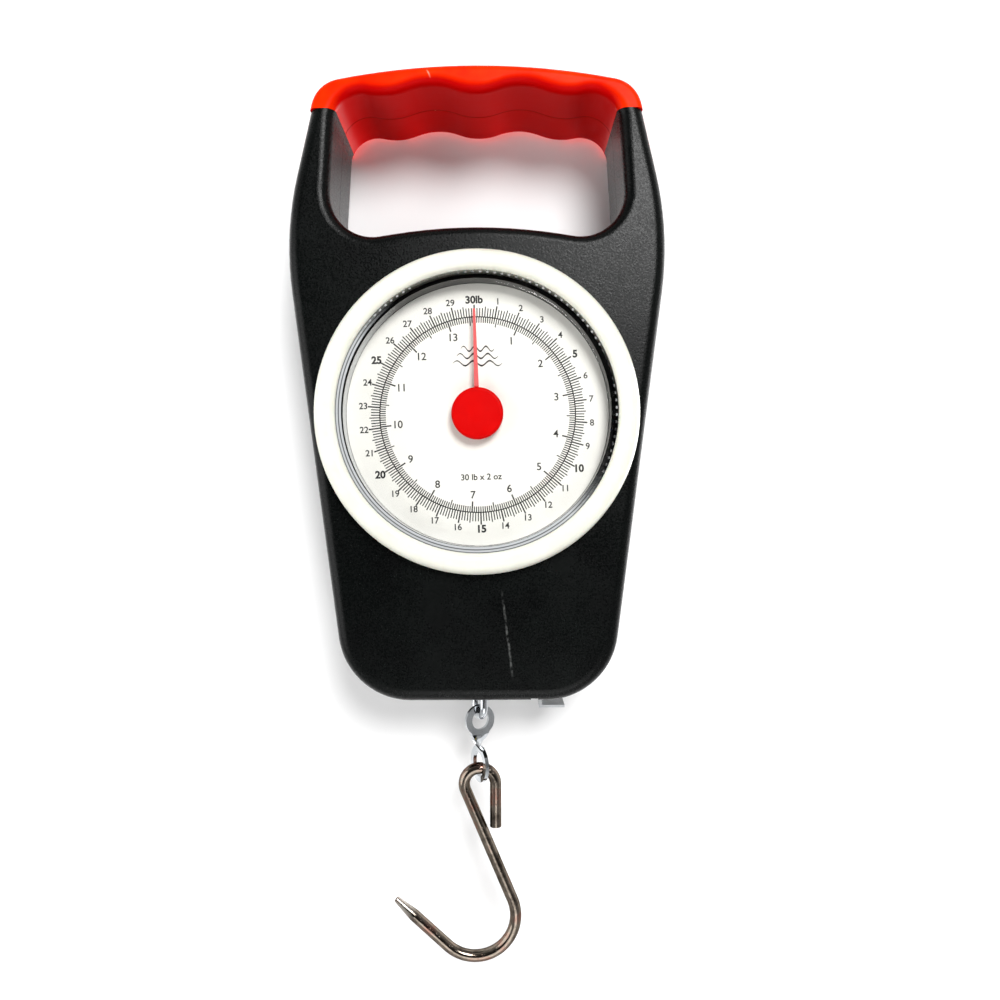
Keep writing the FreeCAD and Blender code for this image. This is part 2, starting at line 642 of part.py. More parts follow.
def tape_case():
    """Rear shell with the fixed post that the spool turns on."""
    inside_y = CASE_HALF - CASE_T
    post = rod(TAPE_X, TAPE_Z, POST_R, -4.6, inside_y)
    ears = [rod(TAPE_X + dx, TAPE_Z + 10.9, 1.6, inside_y, REAR_Y - WALL) for dx in (-7.5, 7.5)]
    return tape_case_half(1).fuse([post] + ears).removeSplitter()


def tape_cover():
    return tape_case_half(-1)


def tape_spool():
    """Drum that the blade winds on, with the return spring inside."""
    drum = rod(TAPE_X, TAPE_Z, HUB_R, -4.4, 4.4).cut(rod(TAPE_X, TAPE_Z, HUB_R - 1.0, -3.4, 4.4))
    return drum.cut(rod(TAPE_X, TAPE_Z, POST_R + 0.05, -6, 6))


def tape_coil():
    """Wound blade on the drum."""
    return rod(TAPE_X, TAPE_Z, COIL_R, -BLADE_HALF, BLADE_HALF).cut(rod(TAPE_X, TAPE_Z, HUB_R, -6, 6))


def tape_return_spring():
    """Flat spiral spring in the drum, held by the post."""
    band = rod(TAPE_X, TAPE_Z, HUB_R - 1.3, -3.0, 3.4)
    return band.cut(rod(TAPE_X, TAPE_Z, POST_R, -6, 6))


def tape_blade():
    """Straight stretch of blade from the coil down to the tab."""
    return box(BLADE_X - BLADE_T, BLADE_X, -BLADE_HALF, BLADE_HALF, BOTTOM_Z - 2.5, TAPE_Z)


def tape_tab():
    """Bent steel end hook: an upright leg on the blade and a lip to pull on."""
    leg = box(BLADE_X, BLADE_X + TAB_T, -TAB_HALF, TAB_HALF, TAB_BOTTOM_Z, BOTTOM_Z + 1.0)
    lip = box(BLADE_X, BLADE_X + TAB_LIP, -TAB_HALF, TAB_HALF, TAB_BOTTOM_Z, TAB_BOTTOM_Z + TAB_T)
    tab = leg.fuse(lip)
    for y in (-TAB_RIVET_Y, TAB_RIVET_Y):
        tab = tab.cut(Part.makeCylinder(TAB_RIVET_R, 3, V(BLADE_X - 1, y, TAB_RIVET_Z), V(1, 0, 0)))
    return tab.removeSplitter()


def tape_rivets():
    rivets = []
    for y in (-TAB_RIVET_Y, TAB_RIVET_Y):
        middle = V(BLADE_X, y, TAB_RIVET_Z)
        shank = Part.makeCylinder(TAB_RIVET_R, TAB_T + 0.3, middle, V(1, 0, 0))
        head = Part.makeCylinder(1.0, 0.4, middle + V(TAB_T, 0, 0), V(1, 0, 0))
        rivets.append(shank.fuse(head))
    return Part.makeCompound(rivets)


def tape_mouth():
    """Plastic mouthpiece that the blade slides through."""
    mouth = box(BLADE_X - 1.5, BLADE_X + 3.1, -5.1, 5.1, BOTTOM_Z - 0.3, BOTTOM_Z + 3.6)
    mouth = mouth.fuse(box(BLADE_X - 2.4, BLADE_X + 4.0, -6.0, 6.0, BOTTOM_Z + WALL + 0.4, BOTTOM_Z + 3.6))
    return mouth.cut(box(BLADE_X - 0.6, BLADE_X + 1.8, -4.7, 4.7, BOTTOM_Z - 3, BOTTOM_Z + 6))


PIECES = {
    "front_housing": front_housing,
    "rear_housing": rear_housing,
    "front_grip": lambda: grip_half(-1),
    "rear_grip": lambda: grip_half(1),
    "housing_screws": housing_screws,
    "grip_screws": grip_screws,
    "bezel_ring": bezel_ring,
    "lens": lens,
    "dial_disc": dial_disc,
    "detent_ring": detent_ring,
    "detent_catch": detent_catch,
    "pointer": pointer,
    "pointer_shaft": pointer_shaft,
    "pinion": pinion,
    "mechanism_plate": mechanism_plate,
    "frame_screws": frame_screws,
    "front_bush": front_bush,
    "rear_bush": rear_bush,
    "bearing_bridge": bearing_bridge,
    "rack": rack,
    "rack_rivet": rack_rivet,
    "rack_guide_spring": rack_guide_spring,
    "spring_hanger": spring_hanger,
    "hanger_screws": hanger_screws,
    "left_spring": lambda: main_spring(-SPRING_X),
    "right_spring": lambda: main_spring(SPRING_X),
    "load_yoke": load_yoke,
    "drawbar": drawbar,
    "drawbar_guide": drawbar_guide,
    "twisted_link": twisted_link,
    "hook": hook,
    "tape_case": tape_case,
    "tape_cover": tape_cover,
    "tape_spool": tape_spool,
    "tape_coil": tape_coil,
    "tape_return_spring": tape_return_spring,
    "tape_blade": tape_blade,
    "tape_tab": tape_tab,
    "tape_rivets": tape_rivets,
    "tape_mouth": tape_mouth,
}

for name, make in PIECES.items():
    make().exportStep(f"parts/{name}.step")
    print(name)
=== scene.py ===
import json
import math

import bmesh
import bpy
from mathutils import Matrix, Vector


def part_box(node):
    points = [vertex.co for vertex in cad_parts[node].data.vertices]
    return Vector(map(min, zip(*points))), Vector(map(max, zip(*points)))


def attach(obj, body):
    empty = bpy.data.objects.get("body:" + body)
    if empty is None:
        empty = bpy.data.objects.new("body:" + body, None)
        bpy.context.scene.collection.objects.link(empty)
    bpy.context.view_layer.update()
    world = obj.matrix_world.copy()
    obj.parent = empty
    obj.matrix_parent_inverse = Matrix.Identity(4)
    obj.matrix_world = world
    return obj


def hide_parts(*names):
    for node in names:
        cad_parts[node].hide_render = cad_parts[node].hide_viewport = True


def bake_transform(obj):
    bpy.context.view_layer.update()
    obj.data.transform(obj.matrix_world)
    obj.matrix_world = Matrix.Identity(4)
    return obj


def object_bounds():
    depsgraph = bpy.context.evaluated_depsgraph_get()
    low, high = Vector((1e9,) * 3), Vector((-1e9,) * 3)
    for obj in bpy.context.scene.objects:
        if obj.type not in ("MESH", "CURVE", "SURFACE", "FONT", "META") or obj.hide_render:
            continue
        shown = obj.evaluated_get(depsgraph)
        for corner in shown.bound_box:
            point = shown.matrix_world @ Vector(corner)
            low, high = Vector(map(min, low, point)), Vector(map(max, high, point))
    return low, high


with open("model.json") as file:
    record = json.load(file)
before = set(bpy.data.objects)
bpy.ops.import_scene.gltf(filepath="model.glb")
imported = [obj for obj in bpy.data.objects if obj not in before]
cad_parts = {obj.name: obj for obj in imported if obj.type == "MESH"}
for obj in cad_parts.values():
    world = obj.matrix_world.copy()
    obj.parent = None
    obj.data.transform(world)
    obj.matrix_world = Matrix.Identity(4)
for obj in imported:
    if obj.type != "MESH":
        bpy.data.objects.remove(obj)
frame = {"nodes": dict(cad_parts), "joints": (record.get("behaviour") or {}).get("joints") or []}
CAD_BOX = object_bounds()

MM = 0.001
DIAL_UNITS = 30                 # pounds in one turn of the pointer
STEPS_PER_POUND = 8             # one mark every two ounces
KILOS_PER_TURN = 13.608
STEPS_PER_KILO = 20             # one mark every fifty grams
HALF_POUND = STEPS_PER_POUND // 2
HALF_KILO = STEPS_PER_KILO // 2
LENS_TEETH = 120                # teeth moulded round the lens cup
LENS_T = 1.8 * MM               # thickness of its flat window
PRINT_TURN = math.radians(1.7)  # how far the dial stands off upright, counter-clockwise

# The scuff on the lower front, from its upper to its lower end, and how far it wanders
SCUFF_TOP_X, SCUFF_TOP_Z = 7.6 * MM, -154.8 * MM
SCUFF_END_X, SCUFF_END_Z = 11.2 * MM, -181.6 * MM
SCUFF_WOBBLE = 1.2 * MM

# The curved scratch on the grip: the centre of its arc, its middle and its radius
SCRATCH_CENTRE = (-19.6 * MM, 0, -3.3 * MM)
SCRATCH_MIDDLE = (-13.6 * MM, 0, -2.3 * MM)
SCRATCH_R = 6 * MM

HOOK_POINT_RISE = 18.6 * MM     # the hook's point above the lowest point of its bowl


def middle(node):
    """The middle of a CAD node's box at rest."""
    low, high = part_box(node)
    return (Vector(low) + Vector(high)) / 2


# ---------------------------------------------------------------- materials

def ink(red, green, blue):
    """A colour as it looks on screen, each part 0 to 255, as the linear values that a shader takes."""
    def linear(part):
        part /= 255
        return part / 12.92 if part <= 0.04045 else ((part + 0.055) / 1.055) ** 2.4
    return linear(red), linear(green), linear(blue), 1.0


class Recipe:
    """A material being put together. Each call adds a node and returns its output."""

    def __init__(self, name):
        self.material = bpy.data.materials.new(name)
        self.material.use_nodes = True
        self.tree = self.material.node_tree
        self.tree.nodes.clear()
        self.place = self.add("TexCoord").outputs["Object"]

    def add(self, kind, **settings):
        made = self.tree.nodes.new("ShaderNode" + kind)
        for key, value in settings.items():
            setattr(made, key, value)
        return made

    def give(self, socket, value):
        """Links an output to a socket, or sets a plain value on it."""
        if isinstance(value, bpy.types.NodeSocket):
            self.tree.links.new(value, socket)
        else:
            socket.default_value = value

    def stretched(self, scale, turn=(0, 0, 0)):
        """The piece's own coordinates, turned and scaled unevenly, for brushed or scratched marks."""
        made = self.add("Mapping")
        self.give(made.inputs["Vector"], self.place)
        made.inputs["Rotation"].default_value = turn
        made.inputs["Scale"].default_value = scale
        return made.outputs["Vector"]

    def noise(self, scale, detail=2.0, roughness=0.5, place=None):
        made = self.add("TexNoise")
        self.give(made.inputs["Vector"], place or self.place)
        made.inputs["Scale"].default_value = scale
        made.inputs["Detail"].default_value = detail
        made.inputs["Roughness"].default_value = roughness
        return made.outputs["Fac"]

    def cells(self, scale, place=None):
        made = self.add("TexVoronoi")
        self.give(made.inputs["Vector"], place or self.place)
        made.inputs["Scale"].default_value = scale
        return made.outputs["Distance"]

    def ramp(self, factor, *stops):
        """A colour ramp. Each stop is a place from 0 to 1 and a colour."""
        made = self.add("ValToRGB")
        self.give(made.inputs["Fac"], factor)
        entries = made.color_ramp.elements
        while len(entries) < len(stops):
            entries.new(0.5)
        for entry, (place, colour) in zip(entries, stops):
            entry.position = place
            entry.color = colour
        return made.outputs["Color"]

    def spread(self, value, start, end, low=0.0, high=1.0):
        """Maps value from start..end to low..high, and holds it there."""
        made = self.add("MapRange", clamp=True)
        for name, given in zip(("Value", "From Min", "From Max", "To Min", "To Max"),
                               (value, start, end, low, high)):
            self.give(made.inputs[name], given)
        return made.outputs["Result"]

    def maths(self, operation, first, second=0.0):
        made = self.add("Math", operation=operation)
        self.give(made.inputs[0], first)
        self.give(made.inputs[1], second)
        return made.outputs["Value"]

    def gap(self, first, second):
        """How far two values are apart."""
        return self.maths("ABSOLUTE", self.maths("SUBTRACT", first, second))

    def distance(self, place, spot):
        """How far a place is from a fixed spot."""
        made = self.add("VectorMath", operation="DISTANCE")
        self.give(made.inputs[0], place)
        made.inputs[1].default_value = spot
        return made.outputs["Value"]

    def mix(self, factor, first, second):
        """A mix of two shaders."""
        made = self.add("MixShader")
        for socket, given in zip(made.inputs, (factor, first, second)):
            self.give(socket, given)
        return made.outputs["Shader"]

    def part(self, axis):
        """One coordinate of the piece's own frame, in metres."""
        made = self.add("SeparateXYZ")
        self.give(made.inputs["Vector"], self.place)
        return made.outputs[axis]

    def blend(self, factor, first, second):
        """A mix of two colours."""
        made = self.add("Mix", data_type="RGBA")
        for socket, given in zip(("Factor_Float", "A_Color", "B_Color"), (factor, first, second)):
            self.give(next(s for s in made.inputs if s.identifier == socket), given)
        return next(s for s in made.outputs if s.identifier == "Result_Color")

    def bump(self, height, depth, under=None):
        """A normal for a height from 0 to 1 that stands depth metres."""
        made = self.add("Bump")
        made.inputs["Strength"].default_value = 1.0
        self.give(made.inputs["Distance"], depth)
        self.give(made.inputs["Height"], height)
        if under is not None:
            self.give(made.inputs["Normal"], under)
        return made.outputs["Normal"]

    def shader(self, **sockets):
        """A Principled shader. A socket is named with _ for each space."""
        made = self.add("BsdfPrincipled")
        for name, value in sockets.items():
            self.give(made.inputs[name.replace("_", " ")], value)
        return made.outputs["BSDF"]

    def done(self, shader):
        out = self.add("OutputMaterial")
        self.give(out.inputs["Surface"], shader)
        return self.material


def grained_plastic(name, dark, light, rough=(0.36, 0.5), grain=0.025 * MM):
    """Moulded plastic with a spark-eroded grain, faint mottling and a few rubbed marks."""
    r = Recipe(name)
    colour = r.ramp(r.noise(90, 4, 0.6), (0.3, dark), (0.75, light))
    rubbed = r.noise(70, 6, 0.65, r.stretched((9, 9, 1), (0, 0.5, 0)))
    fine = r.bump(r.cells(2100), grain)
    whole = r.bump(r.noise(1500, 3, 0.6), grain, fine)
    sheen = r.spread(rubbed, 0.45, 0.7, *rough)
    return r.done(r.shader(Base_Color=colour, Roughness=sheen, Normal=whole))


def housing_plastic():
    """Near-black case plastic with a scuff down the lower front, as a used scale has."""
    r = Recipe("housing_plastic")
    colour = r.ramp(r.noise(80, 5, 0.6), (0.3, ink(2, 3, 3)), (0.75, ink(6, 9, 8)))
    top, end = SCUFF_TOP_Z, SCUFF_END_Z
    lean = r.spread(r.part("Z"), end, top, SCUFF_END_X, SCUFF_TOP_X)
    wobble = r.maths("MULTIPLY", r.noise(60, 2), SCUFF_WOBBLE)
    across = r.gap(r.maths("ADD", r.part("X"), wobble), lean)
    line = r.spread(across, 0.12 * MM, 0.45 * MM, 1.0, 0.0)
    along = r.maths("MULTIPLY", r.spread(r.part("Z"), top, top - 4 * MM),
                    r.spread(r.part("Z"), end, end + 4 * MM))
    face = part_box("front_housing")[0][1]
    front = r.spread(r.part("Y"), face + 0.3 * MM, face + 0.7 * MM, 1.0, 0.0)
    broken = r.spread(r.noise(900, 3), 0.4, 0.62)
    scuff = r.maths("MULTIPLY", r.maths("MULTIPLY", line, along), r.maths("MULTIPLY", front, broken))
    colour = r.blend(r.maths("MULTIPLY", scuff, 0.22), colour, ink(150, 152, 150))
    grain = r.bump(r.noise(1700, 3, 0.6), 0.06 * MM)
    speckle = r.spread(r.noise(1900, 2), 0.4, 0.6, -0.06, 0.06)
    sheen = r.maths("ADD", r.spread(r.noise(45, 5, 0.6), 0.35, 0.7, 0.27, 0.35), speckle)
    return r.done(r.shader(Base_Color=colour, Roughness=sheen, Normal=grain, Specular_IOR_Level=0.14))


def grip_plastic():
    """Red grip plastic with one curved scratch. Faces turned down are painted deep red as shade, a shaded
    copy of the orange that the lit faces get.
    """
    r = Recipe("grip_plastic")
    lit_orange = r.ramp(r.noise(45, 4, 0.6), (0.35, ink(224, 24, 1)), (0.7, ink(234, 54, 2)))
    # Painted shade: the deep red on faces turned down stands in for the shade under the grip; the orange is
    # its lit copy.
    facing = r.add("SeparateXYZ")
    r.give(facing.inputs[0], r.add("NewGeometry").outputs["Normal"])
    painted_underside_shade = r.spread(facing.outputs["Z"], -0.55, -0.05, 1.0, 0.0)
    colour = r.blend(painted_underside_shade, lit_orange, ink(184, 1, 1))
    seam = r.gap(r.part("Y"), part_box("front_grip")[1][1])
    colour = r.blend(r.spread(seam, 0.1 * MM, 0.35 * MM, 0.75, 0.0), colour, ink(92, 0, 0))
    flat = r.stretched((1, 0, 1))
    arc = r.spread(r.gap(r.distance(flat, SCRATCH_CENTRE), SCRATCH_R), 0.1 * MM, 0.3 * MM, 0.55, 0.0)
    reach = r.spread(r.distance(flat, SCRATCH_MIDDLE), 2 * MM, 3 * MM, 1.0, 0.0)
    scratch = r.maths("MULTIPLY", arc, reach)
    scratch = r.maths("MULTIPLY", scratch, r.maths("SUBTRACT", 1.0, painted_underside_shade))
    colour = r.blend(scratch, colour, ink(255, 176, 150))
    grain = r.bump(r.noise(1500, 3, 0.6), 0.018 * MM)
    rubbed = r.noise(60, 5, 0.6, r.stretched((1, 6, 6)))
    return r.done(r.shader(Base_Color=colour, Roughness=r.spread(rubbed, 0.4, 0.7, 0.28, 0.38), Normal=grain,
                           Specular_IOR_Level=0.03))


def bezel_plastic():
    """Warm white ring plastic, satin, with dirt in its fine pores."""
    r = Recipe("bezel_plastic")
    colour = r.ramp(r.noise(120, 5, 0.65), (0.3, ink(218, 218, 205)), (0.7, ink(229, 229, 217)))
    pores = r.spread(r.noise(2600, 2), 0.66, 0.78, 0.0, 0.25)
    colour = r.blend(pores, colour, ink(196, 194, 180))
    grain = r.bump(r.noise(1700, 3), 0.012 * MM)
    rubbed = r.noise(160, 4, 0.6)
    return r.done(r.shader(Base_Color=colour, Roughness=r.spread(rubbed, 0.35, 0.7, 0.3, 0.45), Normal=grain,
                           Subsurface_Weight=0.08, Subsurface_Scale=0.002))


def lens_wall(r):
    """Where the cup's side wall shows, and the light and shade painted on it. Above, it is painted dark as
    shade, with pale dots painted as glints where the teeth are. Below, the wall and the rim over it are
    painted pale for the light through them, with thin dark lines painted at its edges as shade."""
    low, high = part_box("lens")
    radius = (high[0] - low[0]) / 2
    centre = middle("lens")
    x = r.maths("SUBTRACT", r.part("X"), centre.x)
    z = r.maths("SUBTRACT", r.part("Z"), centre.z)
    down = r.maths("SUBTRACT", r.part("Y"), low[1])
    out = r.maths("SQRT", r.maths("ADD", r.maths("MULTIPLY", x, x), r.maths("MULTIPLY", z, z)))
    over_wall = r.spread(out, radius - 2.5 * MM, radius - 2.45 * MM)
    inner = r.maths("MULTIPLY", over_wall, r.spread(out, radius - 1.6 * MM, radius - 1.5 * MM, 1.0, 0.0))
    inner = r.maths("MULTIPLY", inner, r.spread(down, LENS_T + 0.1 * MM, LENS_T + 0.2 * MM))
    rim = r.maths("MULTIPLY", over_wall, r.spread(down, 0.3 * MM, 0.5 * MM, 1.0, 0.0))
    # Painted light and shade: towards the bottom the wall is painted pale, towards the top dark.
    lower = r.spread(r.maths("ADD", z, r.maths("MULTIPLY", x, 0.8)), -8 * MM, 14 * MM, 1.0, 0.0)
    turn = r.maths("MULTIPLY", r.maths("ARCTAN2", z, x), LENS_TEETH / (2 * math.pi))
    across = r.gap(r.maths("FRACT", turn), 0.5)
    row = r.spread(r.gap(out, radius - 1.25 * MM), 0.2 * MM, 0.4 * MM, 1.0, 0.0)
    # Painted glints: pale dots where the teeth catch the light.
    dots = r.maths("MULTIPLY", r.maths("MULTIPLY", row, r.spread(across, 0.12, 0.26, 1.0, 0.0)),
                   r.spread(r.noise(70, 2), 0.4, 0.6, 0.0, 0.7))
    lines = None
    # Painted shade: thin dark lines at the edges of the clear wall.
    for measure, spot in ((down, 2.4 * MM), (out, radius - 0.8 * MM), (out, radius - 1.7 * MM)):
        line = r.spread(r.gap(measure, spot), 0.1 * MM, 0.25 * MM, 0.8, 0.0)
        lines = line if lines is None else r.maths("MAXIMUM", lines, line)
    pale = r.blend(lines, ink(196, 199, 202), ink(38, 40, 41))
    dark = r.blend(dots, ink(5, 5, 6), ink(205, 207, 206))
    rim = r.maths("MULTIPLY", rim, r.maths("MAXIMUM", r.maths("MULTIPLY", lower, 0.85), dots))
    return r.maths("MAXIMUM", inner, rim), r.blend(lower, dark, pale)


def lens_clear():
    """Clear moulded polystyrene: light passes, the surface mirrors at a slant and carries a little haze."""
    r = Recipe("lens_clear")
    slant = r.add("LayerWeight")
    slant.inputs["Blend"].default_value = 0.5
    steep = r.maths("POWER", slant.outputs["Facing"], 5.0)
    haze = r.spread(r.noise(45, 6, 0.7), 0.5, 0.75, 0.014, 0.03)
    share = r.maths("ADD", r.maths("MULTIPLY", steep, 0.85), haze)
    wavy = r.bump(r.noise(60, 2), 0.02 * MM)
    clear = r.add("BsdfTransparent")
    clear.inputs["Color"].default_value = ink(253, 253, 252)
    # Painted light and shade: the clear side wall gets an opaque colour, dark above for the shade in the
    # well and pale below for the light through it.
    wall, painted_wall_light_shade = lens_wall(r)
    side = r.shader(Base_Color=painted_wall_light_shade, Roughness=r.spread(r.noise(200, 3), 0.3, 0.7, 0.1, 0.25))
    gloss = r.add("BsdfGlossy")
    gloss.inputs["Color"].default_value = ink(255, 255, 255)
    r.give(gloss.inputs["Roughness"], r.spread(r.noise(300, 4), 0.4, 0.7, 0.02, 0.09))
    r.give(gloss.inputs["Normal"], wavy)
    window = r.mix(share, clear.outputs["BSDF"], gloss.outputs["BSDF"])
    return r.done(r.mix(wall, window, side))


def dial_card():
    """White dial blank: smooth plastic with a very fine tooth."""
    r = Recipe("dial_card")
    colour = r.ramp(r.noise(60, 4, 0.6), (0.3, ink(234, 233, 229)), (0.75, ink(242, 241, 238)))
    grain = r.bump(r.noise(2400, 2), 0.006 * MM)
    return r.done(r.shader(Base_Color=colour, Roughness=r.spread(r.noise(200, 3), 0.3, 0.7, 0.38, 0.5),
                           Normal=grain))


def print_ink():
    """Screen-printed black, a little uneven in cover."""
    r = Recipe("print_ink")
    colour = r.ramp(r.noise(2600, 3, 0.6), (0.3, ink(14, 14, 16)), (0.72, ink(38, 38, 41)))
    return r.done(r.shader(Base_Color=colour, Roughness=r.spread(r.noise(900, 2), 0.3, 0.7, 0.4, 0.6),
                           Normal=r.bump(r.noise(3000, 2), 0.004 * MM)))


def pointer_plastic():
    """Red pointer plastic. Its thin needle is painted paler pink for the light that shows through it."""
    r = Recipe("pointer_plastic")
    hub = r.ramp(r.noise(200, 4, 0.6), (0.3, ink(200, 2, 3)), (0.7, ink(210, 5, 5)))
    centre = middle("pointer_shaft")
    up = r.maths("SUBTRACT", r.part("Z"), centre.z)
    needle = r.spread(up, 7.9 * MM, 8.3 * MM)
    # Painted light: the needle's paler pink stands in for light showing through the thin red plastic.
    colour = r.blend(r.maths("MULTIPLY", needle, 0.75), hub, ink(220, 112, 114))
    grain = r.bump(r.noise(1600, 3), 0.01 * MM)
    return r.done(r.shader(Base_Color=colour, Roughness=r.spread(r.noise(300, 3), 0.35, 0.7, 0.3, 0.45),
                           Normal=grain, Specular_IOR_Level=0.03))


def metal(name, dark, light, rough, lines=0.0, pits=0.0, grain_turn=(0, 0, 0), mottle=140):
    """Bare or plated metal: tarnish in the colour, drawn lines along Z and small pits."""
    r = Recipe(name)
    colour = r.ramp(r.noise(mottle, 5, 0.65), (0.3, dark), (0.72, light))
    drawn = r.noise(260, 4, 0.6, r.stretched((12, 12, 1), grain_turn))
    normal = r.bump(drawn, lines * MM)
    normal = r.bump(r.spread(r.noise(1500, 3, 0.7), 0.62, 0.75, 1.0, 0.0), pits * MM, normal)
    return r.done(r.shader(Base_Color=colour, Metallic=1.0, Roughness=r.spread(drawn, 0.35, 0.7, *rough),
                           Normal=normal))


def hook_metal():
    """Dark nickel with a brown tinge where it has worn, and a bright ground point."""
    r = Recipe("hook_metal")
    colour = r.ramp(r.noise(130, 5, 0.65), (0.3, ink(62, 55, 49)), (0.5, ink(132, 122, 111)),
                    (0.72, ink(132, 78, 65)))
    low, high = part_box("hook")
    tip = Vector((low[0], middle("hook")[1], low[2] + HOOK_POINT_RISE))
    ragged = r.maths("MULTIPLY", r.noise(700, 3), 3 * MM)
    ground = r.spread(r.maths("ADD", r.distance(r.place, tip), ragged), 5.5 * MM, 9.5 * MM, 0.75, 0.0)
    colour = r.blend(ground, colour, ink(196, 190, 182))
    drawn = r.noise(240, 4, 0.6, r.stretched((10, 10, 1)))
    normal = r.bump(drawn, 0.012 * MM)
    normal = r.bump(r.spread(r.noise(1300, 3, 0.7), 0.6, 0.74, 1.0, 0.0), 0.03 * MM, normal)
    roughness = r.maths("ADD", r.spread(drawn, 0.35, 0.7, 0.08, 0.19), r.maths("MULTIPLY", ground, 0.15))
    # Painted shade: the dark edge tint darkens the hook's rims at a slant.
    return r.done(r.shader(Base_Color=colour, Metallic=1.0, Roughness=roughness, Normal=normal,
                           Specular_Tint=ink(62, 54, 50)))


def tape_paint():
    """Yellow painted steel."""
    r = Recipe("tape_paint")
    colour = r.ramp(r.noise(150, 4, 0.6), (0.3, ink(226, 190, 40)), (0.72, ink(240, 208, 60)))
    normal = r.bump(r.noise(600, 3, 0.6, r.stretched((6, 6, 1))), 0.01 * MM)
    return r.done(r.shader(Base_Color=colour, Roughness=r.spread(r.noise(200, 3), 0.3, 0.7, 0.28, 0.42),
                           Normal=normal))


# ---------------------------------------------------------------- piece helpers

def mesh_piece(name, shape, material, body, smooth=True):
    """Makes an object from a bmesh and lets it ride on a CAD body."""
    data = bpy.data.meshes.new(name)
    bmesh.ops.recalc_face_normals(shape, faces=shape.faces)
    shape.to_mesh(data)
    shape.free()
    for face in data.polygons:
        face.use_smooth = smooth
    made = bpy.data.objects.new(name, data)
    bpy.context.scene.collection.objects.link(made)
    data.materials.append(material)
    if body:
        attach(made, body)
    return made


def strip(shape, left, right, depth, closed=False):
    """A solid strip between two rows of points. It stands depth out along -Y, open-ended or as a loop."""
    rise = Vector((0, -depth, 0))
    rows = [[shape.verts.new(p + lift) for p in row]
            for row, lift in ((left, rise), (right, rise), (right, Vector()), (left, Vector()))]
    count = len(left)
    for one, two in zip(rows, rows[1:] + rows[:1]):
        for k in range(count if closed else count - 1):
            n = (k + 1) % count
            shape.faces.new((one[k], one[n], two[n], two[k]))
    if not closed:
        shape.faces.new([row[0] for row in rows])
        shape.faces.new([row[-1] for row in rows])


def swept_tube(shape, path, radii, sides=12):
    """A round tube along a list of points, with a radius for each, closed with a fan at both ends."""
    rings = []
    side = None
    for i, point in enumerate(path):
        ahead = path[min(i + 1, len(path) - 1)] - path[max(i - 1, 0)]
        ahead.normalize()
        if side is None:
            side = ahead.orthogonal().normalized()
        side = (side - ahead * side.dot(ahead)).normalized()
        up = ahead.cross(side)
        turn = [2 * math.pi * k / sides for k in range(sides)]
        rings.append([shape.verts.new(point + (side * math.cos(a) + up * math.sin(a)) * radii[i])
                      for a in turn])
    for one, two in zip(rings, rings[1:]):
        for k in range(sides):
            n = (k + 1) % sides
            shape.faces.new((one[k], one[n], two[n], two[k]))
    shape.faces.new(list(reversed(rings[0])))
    shape.faces.new(rings[-1])


# ---------------------------------------------------------------- printed dial

DIAL = Vector((0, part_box("dial_disc")[0][1], middle("dial_disc")[2]))
INK_STANDS = 0.02 * MM
RING_R = 29.7 * MM              # the ring between the pound and kilogram marks
POUND_MARKS = {"pound": 33.4 * MM, "half": 32.9 * MM, "step": 32.4 * MM}
KILO_MARKS = {"kilo": 26.4 * MM, "half": 27.0 * MM, "step": 27.9 * MM}
BROAD_LINE = 0.44 * MM
FINE_LINE = 0.33 * MM
POUND_LABEL_R = 34.8 * MM
KILO_LABEL_R = 24.5 * MM


def on_dial(radius, share):
    """The place on the dial face at a radius and a share of a clockwise turn from the top."""
    angle = 2 * math.pi * share - PRINT_TURN
    return DIAL + Vector((radius * math.sin(angle), 0, radius * math.cos(angle)))


def dial_marks(material):
    """The ring and its marks: pounds outside, kilograms inside."""
    shape = bmesh.new()

    def mark(share, inner, outer, width):
        along = (on_dial(1, share) - DIAL).normalized()
        across = Vector((along.z, 0, -along.x)) * width / 2
        ends = (on_dial(inner, share), on_dial(outer, share))
        strip(shape, [end - across for end in ends], [end + across for end in ends], INK_STANDS)

    for step in range(DIAL_UNITS * STEPS_PER_POUND):
        share = step / (DIAL_UNITS * STEPS_PER_POUND)
        kind = "pound" if step % STEPS_PER_POUND == 0 else "half" if step % HALF_POUND == 0 else "step"
        mark(share, RING_R, POUND_MARKS[kind], BROAD_LINE if kind == "pound" else FINE_LINE)
    for step in range(int(KILOS_PER_TURN * STEPS_PER_KILO) + 1):
        share = step / (KILOS_PER_TURN * STEPS_PER_KILO)
        kind = "kilo" if step % STEPS_PER_KILO == 0 else "half" if step % HALF_KILO == 0 else "step"
        mark(share, KILO_MARKS[kind], RING_R, BROAD_LINE if kind == "kilo" else FINE_LINE)
    return mesh_piece("dial_marks", shape, material, "zero_ring", smooth=False)


def dial_ring(material):
    """The thin printed circle that both rows of marks stand on."""
    shape = bmesh.new()
    marks = DIAL_UNITS * STEPS_PER_POUND
    shares = [k / marks for k in range(marks)]
    edges = [[on_dial(RING_R + side * FINE_LINE / 2, share) for share in shares] for side in (-1, 1)]
    strip(shape, *edges, INK_STANDS, closed=True)
    return mesh_piece("dial_ring", shape, material, "zero_ring", smooth=False)


